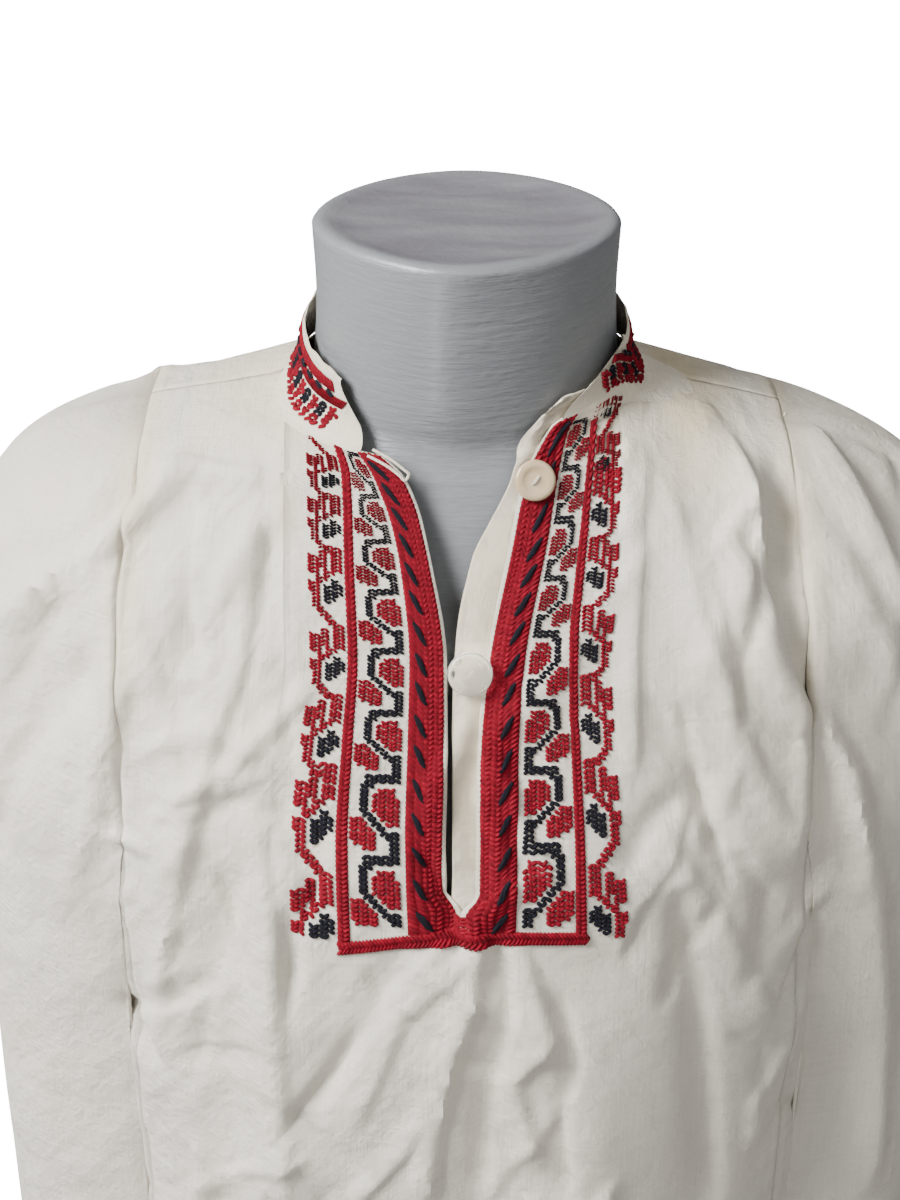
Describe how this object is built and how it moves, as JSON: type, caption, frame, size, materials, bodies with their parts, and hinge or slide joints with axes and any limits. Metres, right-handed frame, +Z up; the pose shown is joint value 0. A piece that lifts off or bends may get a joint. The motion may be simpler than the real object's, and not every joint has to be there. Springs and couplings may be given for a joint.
{
  "type": "embroidered folk shirt on a dress form",
  "caption": "Undyed cotton folk shirt with red and black cross-stitch at the neck slit and band collar, standing on a grey limbless dress form",
  "frame": {"origin": "Middle of the flat face on which the dress form stands, with the floor at z = 0", "axes": "+Z up; the front of the shirt looks along -Y; +X is the wearer's left"},
  "size_m": [0.4596, 0.2943, 0.88],
  "materials": {
    "form_plastic": "satin moulded grey plastic, faintly scratched",
    "cotton": "undyed plain-woven cotton, pressed and lightly creased",
    "red_thread": "red embroidery cotton in cross and herringbone stitch",
    "pearl_button": "pearly cream plastic",
    "clear_button": "clear plastic"
  },
  "bodies": {
    "root": {"dress_form": "form_plastic", "front_panel": "cotton", "back_panel": "cotton", "right_side_panel": "cotton", "left_side_panel": "cotton", "right_sleeve": "cotton", "left_sleeve": "cotton", "collar_band": "cotton", "slit_facing": "cotton", "right_plait_band": "red_thread", "left_plait_band": "red_thread", "right_frame_line": "red_thread", "left_frame_line": "red_thread", "frame_foot": "red_thread", "collar_button": "pearl_button", "slit_button": "clear_button", "button_loop": "cotton"}
  },
  "joints": []
}
